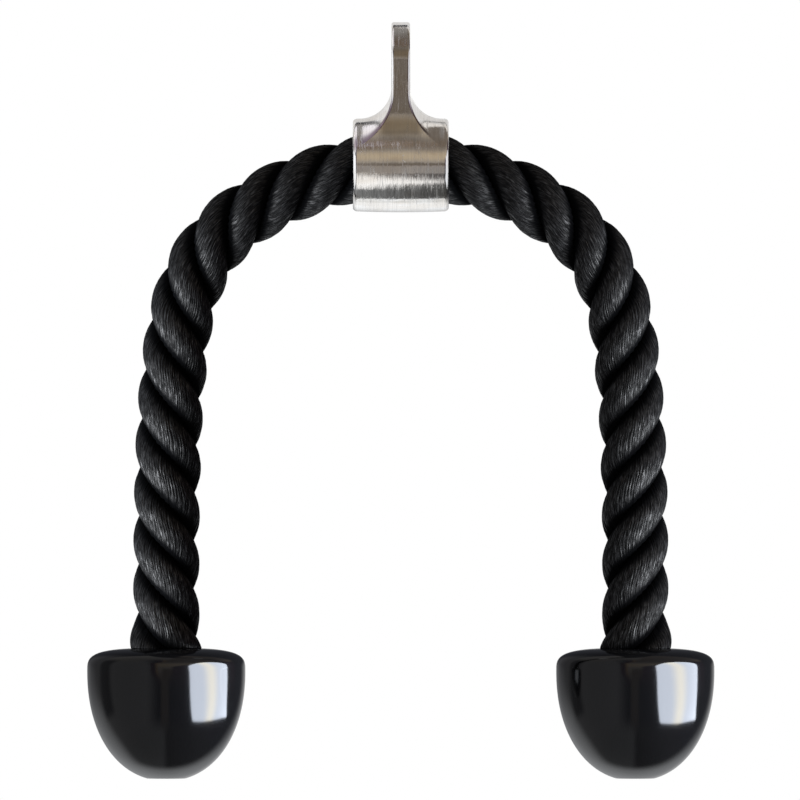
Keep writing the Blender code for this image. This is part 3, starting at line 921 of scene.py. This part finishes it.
def add_lamp(name, centre, direction, distance, size, radiance, colour=(1, 1, 1), facing=None, roll=0):
    """A soft rectangular lamp at a distance from a centre.

    It looks back along its direction, or along facing, and is turned about that line by roll.
    """
    data = bpy.data.lights.new(name, "AREA")
    data.shape = "RECTANGLE"
    data.size, data.size_y = size
    data.energy = radiance * math.pi * size[0] * size[1]
    data.color = colour
    lamp = bpy.data.objects.new(name, data)
    bpy.context.scene.collection.objects.link(lamp)
    lamp.location = Vector(centre) + toward(*direction) * distance
    turn = toward(*(facing or direction)).to_track_quat("Z", "Y")
    lamp.rotation_euler = (turn @ Quaternion((0, 0, 1), math.radians(roll))).to_euler()
    lamp.visible_camera = False
    return lamp


def lamp_face(shader):
    """How far across and up a lamp's face a point lies, each from -1 to 1."""
    across, up, _ = shader.split(shader.node("ShaderNodeNewGeometry").outputs["Parametric"])
    return across * 2 - 1, up * 2 - 1


def shade_lamp(shader, strength):
    """Makes a lamp as strong as this from place to place."""
    shader.feed(shader.tree.nodes["Emission"].inputs["Strength"], strength)


def fade_lamp(lamp):
    """Makes a lamp dimmer towards one side."""
    shader = Shader(lamp.data)
    _, up = lamp_face(shader)
    shade_lamp(shader, 0.6 - 0.4 * up)


def slant_lamp(lamp):
    """Gives a lamp a crisp lower edge that climbs to one side and a soft upper edge that sinks to it."""
    shader = Shader(lamp.data)
    u, v = lamp_face(shader)
    lower = v + 0.38 - 0.88 * u - 0.94 * u.at_most(0.0)
    upper = 0.45 - 1.2 * u - v
    shade_lamp(shader, lower.ramp(-0.05, 0.05) * upper.ramp(-0.24, 0.28))


def shade_window(lamp):
    """Gives the window its leaning outline with rounded corners, and a cream stripe up its middle."""
    shader = Shader(lamp.data)
    u, v = (share * WINDOW_SPREAD for share in lamp_face(shader))
    low = v.at_most(0.0)
    sides = (
        0.83 + 0.65 * low * low - u,
        1.19 - 0.22 * low * low + u,
        1.24 - 0.32 * u - 0.73 * u * u - v,
        0.98 + 0.12 * u * u + v,
    )
    outside = sum((0.12 / side.at_least(0.01)) ** 3 for side in sides)
    stripe = (u + 0.17 * v).near(-0.2, 0.0, 1 / 2.6)
    colour = shader.mix(stripe, (0.8, 0.87, 1.0), (1.0, 0.97, 0.88))
    shader.feed(shader.tree.nodes["Emission"].inputs["Color"], colour)
    shade_lamp(shader, (1 - outside.ramp(0.6, 1.4)) * (1 + 0.12 * stripe))


def light_only(lamp, pieces, through=()):
    """Makes a lamp light these pieces and no others. The pieces in through cast no shadow in its light."""
    lit = bpy.data.collections.new(lamp.name + "_lights")
    for piece in pieces:
        lit.objects.link(piece)
    lamp.light_linking.receiver_collection = lit
    if through:
        clear = bpy.data.collections.new(lamp.name + "_shines_through")
        for piece in through:
            clear.objects.link(piece)
        for link in clear.collection_objects:
            link.light_linking.link_state = "EXCLUDE"
        lamp.light_linking.blocker_collection = clear


class STAGE_OT_studio(bpy.types.Operator):
    """Make the camera, the floor and the studio's surroundings"""

    bl_idname = "rope_dresser.studio"
    bl_label = "Studio"

    def execute(self, context):
        settings = context.scene.rope_dresser_stage
        self.camera(context, settings)
        self.floor(context, settings)
        self.surroundings(context)
        context.scene.view_settings.view_transform = "Standard"
        return {"FINISHED"}

    def camera(self, context, settings):
        data = bpy.data.cameras.new("camera")
        made = bpy.data.objects.new("camera", data)
        context.scene.collection.objects.link(made)
        half = PICTURE / 2
        across = (half - CENTRE_COLUMN) * PIXEL
        up = -AXIS_DROP - (half - AXIS_ROW) * PIXEL
        made.location = (across, -settings.camera_distance, up)
        made.rotation_euler = (math.pi / 2, 0, 0)
        data.lens = data.sensor_width * settings.camera_distance / (PICTURE * PIXEL)
        data.clip_end = 100
        context.scene.camera = made

    def floor(self, context, settings):
        mesh = bpy.data.meshes.new("floor")
        build = bmesh.new()
        bmesh.ops.create_circle(build, cap_ends=True, segments=96, radius=FLOOR_RADIUS)
        build.to_mesh(mesh)
        build.free()
        made = bpy.data.objects.new("floor", mesh)
        context.scene.collection.objects.link(made)
        low = CAP_TOP - context.scene.rope_dresser_cap.cap_height
        made.location = (0, 0, low - settings.floor_drop)
        made.visible_glossy = False
        shader = new_material("pale_floor")
        shader.set(Base_Color=(0.82, 0.82, 0.82, 1), Roughness=0.9, Specular_IOR_Level=0.1)
        away = shader.node("ShaderNodeVectorMath", {"operation": "LENGTH"}, {0: object_place(shader)})
        edge = shader.value(away, "Value").ramp(0.5 * FLOOR_RADIUS, 0.98 * FLOOR_RADIUS)
        white = shader.node("ShaderNodeEmission")
        both = shader.finish(shader.surface, white, edge)
        below = shader.node("ShaderNodeNewGeometry").outputs["Backfacing"]
        shader.finish(both, shader.node("ShaderNodeBsdfTransparent"), below)
        mesh.materials.append(shader.owner)

    def surroundings(self, context):
        world = bpy.data.worlds.new("studio")
        context.scene.world = world
        shader = Shader(world)
        x, y, z = shader.split(shader.node("ShaderNodeTexCoord").outputs["Generated"])
        front = 1 - y.ramp(0.42, 0.58)
        left_limit = 0.2 * z.ramp(0.5, 0.75) - 0.12 - 0.13 * z.ramp(-0.1, 0.0)
        right_limit = 0.12 + 0.1 * z.ramp(-0.1, 0.0) + 0.65 * z.ramp(0.15, 0.45)
        from_left = x - left_limit
        brown = from_left.ramp(-0.03, 0.03) * (right_limit - x).ramp(0.0, 0.1) * front * z.ramp(-0.8, -0.5)
        glow = z.near(0.35, 0.03, 0.32)
        line = z.near(0.0, 0.04, 0.11) * x.ramp(-0.12, -0.06)
        purple = from_left.ramp(-0.14, -0.1) * front * z.ramp(-0.2, 0.0)
        fringe = from_left.near(0.02, 0.01, 0.04) * z.ramp(-0.08, 0.0)
        over = z.ramp(0.5, 0.8) * y.ramp(-0.65, 0.0) * (1 - y.ramp(0.46, 0.58))
        over = over * (1 - 0.85 * x.ramp(0.03, 0.12))
        drop = y.near(0.2, 0.1, 0.3) * z.ramp(-0.4, -0.3)
        left = (-x).ramp(0.15, 0.5) * (1 - 0.75 * drop) * z.ramp(-0.85, -0.6)
        left = left * (1 - 0.5 * y.ramp(0.3, 0.6) * z.ramp(-0.3, -0.1))
        under = 1.6 * y - z + 0.5 * (-x).ramp(0.4, 0.9)
        below = under.ramp(1.25, 1.7) * (0.08 - 1.2 * z).at_least(0.0)
        floor = shader.mix(x.ramp(-0.09, 0.05), (0.24, 0.245, 0.25), (0.06, 0.06, 0.058))
        colour = shader.mix(z.ramp(-0.75, -0.5), floor, (0.042, 0.044, 0.052))
        colour = shader.mix(left, colour, (0.28, 0.28, 0.29))
        colour = shader.mix(purple, colour, (0.075, 0.05, 0.065))
        tone = shader.mix(z.ramp(-0.12, 0.08), (0.15, 0.13, 0.115), (0.33, 0.3, 0.265))
        tone = shader.mix(glow, tone, (0.49, 0.4, 0.285))
        tone = shader.mix(z.ramp(0.45, 0.8), tone, (0.165, 0.136, 0.11))
        tone = shader.mix(line, tone, (0.14, 0.115, 0.09))
        colour = shader.mix(brown, colour, shader.mix(fringe, tone, (0.36, 0.25, 0.14)))
        colour = shader.mix(over, colour, (0.29, 0.28, 0.27))
        colour = shader.mix(below, colour, (1.14, 1.17, 1.2))
        room = shader.tree.nodes["Background"]
        shader.feed(room.inputs["Color"], colour)
        white = shader.node("ShaderNodeBackground", inputs={"Color": (1, 1, 1, 1)})
        rays = shader.node("ShaderNodeLightPath")
        kinds = ("Camera", "Glossy", "Transmission")
        camera, glossy, through = (shader.value(rays, f"Is {kind} Ray") for kind in kinds)
        backdrop = y.ramp(0.75, 1.0) * (0.1 + 0.4 * x.ramp(-0.1, 0.1)) * (1 - z.ramp(0.0, 0.15))
        shown = camera + (glossy + through) * backdrop
        shader.finish(room, white, shown)


class ROPE_OT_make(bpy.types.Operator):
    """Make the laid rope, one side and then the other"""

    bl_idname = "rope_dresser.rope"
    bl_label = "Laid rope"

    def execute(self, context):
        settings = context.scene.rope_dresser_rope
        material = rope_material(settings)
        for side_name, side in SIDES.items():
            made = rope_side(settings, side_name, side, material)
            declare_rope(made, side_name, side)
        return {"FINISHED"}


class CASTING_OT_make(bpy.types.Operator):
    """Make the polished hanger"""

    bl_idname = "rope_dresser.casting"
    bl_label = "Polished hanger"

    def execute(self, context):
        settings = context.scene.rope_dresser_casting
        points, faces, ways = casting_mesh(settings)
        made = finished("hanger_casting", points, faces, casting_material(settings), "polished_casting")
        made.data.normals_split_custom_set_from_vertices(ways)
        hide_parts("hanger")
        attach(made, "hanger")
        return {"FINISHED"}


class CAP_OT_make(bpy.types.Operator):
    """Make the gloss end caps"""

    bl_idname = "rope_dresser.caps"
    bl_label = "End caps"

    def execute(self, context):
        settings = context.scene.rope_dresser_cap
        material = cap_material(settings)
        for side_name, side in SIDES.items():
            shape = turned(cap_outline(settings), CAP_STEPS, (side * CAP_X, 0, CAP_TOP))
            made = finished(side_name + "_end_cap", *shape, material, "black_moulding")
            made.data.set_sharp_from_angle(angle=CAP_SHARP_ANGLE)
            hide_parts(side_name + "_cap")
            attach(made, side_name + "_leg")
        return {"FINISHED"}


class FIXING_OT_make(bpy.types.Operator):
    """Finish the screws, washers and end bands, which keep their solids' shapes"""

    bl_idname = "rope_dresser.fixings"
    bl_label = "Screws, washers and bands"

    def execute(self, context):
        zinc, tape = zinc_material(), binding_material()
        for side_name in SIDES:
            for part, material in (("screw", zinc), ("washer", zinc), ("end_band", tape)):
                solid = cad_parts[f"{side_name}_{part}"]
                for held in solid.material_slots:
                    held.material = material
        return {"FINISHED"}


class CARDS_OT_make(bpy.types.Operator):
    """Add the lamps and cards, each of which lights only some of the pieces"""

    bl_idname = "rope_dresser.cards"
    bl_label = "Lamps and cards"

    def execute(self, context):
        settings = context.scene.rope_dresser_stage
        floor = bpy.data.objects["floor"]
        pieces = [o for o in bpy.data.objects if o.type == "MESH" and o != floor]
        caps = [o for o in pieces if o.name.endswith("_end_cap")]
        hanger = [bpy.data.objects["hanger_casting"]]
        ropes = [bpy.data.objects[side_name + "_rope"] for side_name in SIDES]
        rest = [o for o in pieces if o not in ropes + caps + hanger] + [floor]
        for (side_name, side), rope in zip(SIDES.items(), ropes):
            for name, direction, size, radiance, lit in (
                ("softbox", (side * 69, -8), (3.5, 2.9), settings.side_radiance, rest),
                ("metal_light", (side * 69, -8), (3.5, 2.9), settings.metal_radiance, hanger),
                ("rope_light", (side * 66, -24), (2.0, 2.2), settings.rope_radiance, [rope]),
            ):
                placed = (ROPE_MIDDLE, direction, LAMP_DISTANCE, size)
                light_only(add_lamp(f"{side_name}_{name}", *placed, radiance, BLUE), lit)
        lamp = add_lamp("floor_light", floor.location, (0, 90), 2.2, (2.0, 2.0), settings.floor_radiance)
        light_only(lamp, [floor])
        window = add_lamp(
            "cap_window",
            centre=CAPS_MIDDLE,
            direction=(78.4, -3.9),
            distance=LAMP_DISTANCE,
            size=WINDOW_SIZE,
            radiance=settings.window_radiance,
            facing=(59.5, 6),
            roll=6.5,
        )
        shade_window(window)
        light_only(window, caps, through=pieces)
        for name, *card in HANGER_CARDS:
            light_only(add_lamp(name, SLEEVE_MIDDLE, *card), hanger)
        slant_lamp(bpy.data.objects["low_card"])
        fade_lamp(bpy.data.objects["under_card"])
        return {"FINISHED"}


class DRESSER_PT_panel(bpy.types.Panel):
    """The dresser's steps and settings"""

    bl_idname = "DRESSER_PT_panel"
    bl_label = "Triceps rope"
    bl_space_type = "VIEW_3D"
    bl_region_type = "UI"
    bl_category = "Triceps rope"

    def draw(self, context):
        for step in STEPS:
            self.layout.operator(step.bl_idname)
        for name in SETTINGS:
            group = getattr(context.scene, name)
            box = self.layout.box()
            for prop in group.__annotations__:
                box.prop(group, prop)


STEPS = (STAGE_OT_studio, ROPE_OT_make, CASTING_OT_make, CAP_OT_make, FIXING_OT_make, CARDS_OT_make)
SETTINGS = {
    "rope_dresser_rope": RopeSettings,
    "rope_dresser_casting": CastingSettings,
    "rope_dresser_cap": CapSettings,
    "rope_dresser_stage": StageSettings,
}


def register():
    for group in (*SETTINGS.values(), *STEPS, DRESSER_PT_panel):
        bpy.utils.register_class(group)
    for name, group in SETTINGS.items():
        setattr(bpy.types.Scene, name, PointerProperty(type=group))


def unregister():
    for name in SETTINGS:
        delattr(bpy.types.Scene, name)
    for group in (*SETTINGS.values(), *STEPS, DRESSER_PT_panel):
        bpy.utils.unregister_class(group)


def main():
    register()
    bpy.ops.rope_dresser.studio()
    bpy.ops.rope_dresser.rope()
    bpy.ops.rope_dresser.casting()
    bpy.ops.rope_dresser.caps()
    bpy.ops.rope_dresser.fixings()
    bpy.ops.rope_dresser.cards()


if __name__ == "__main__":
    main()
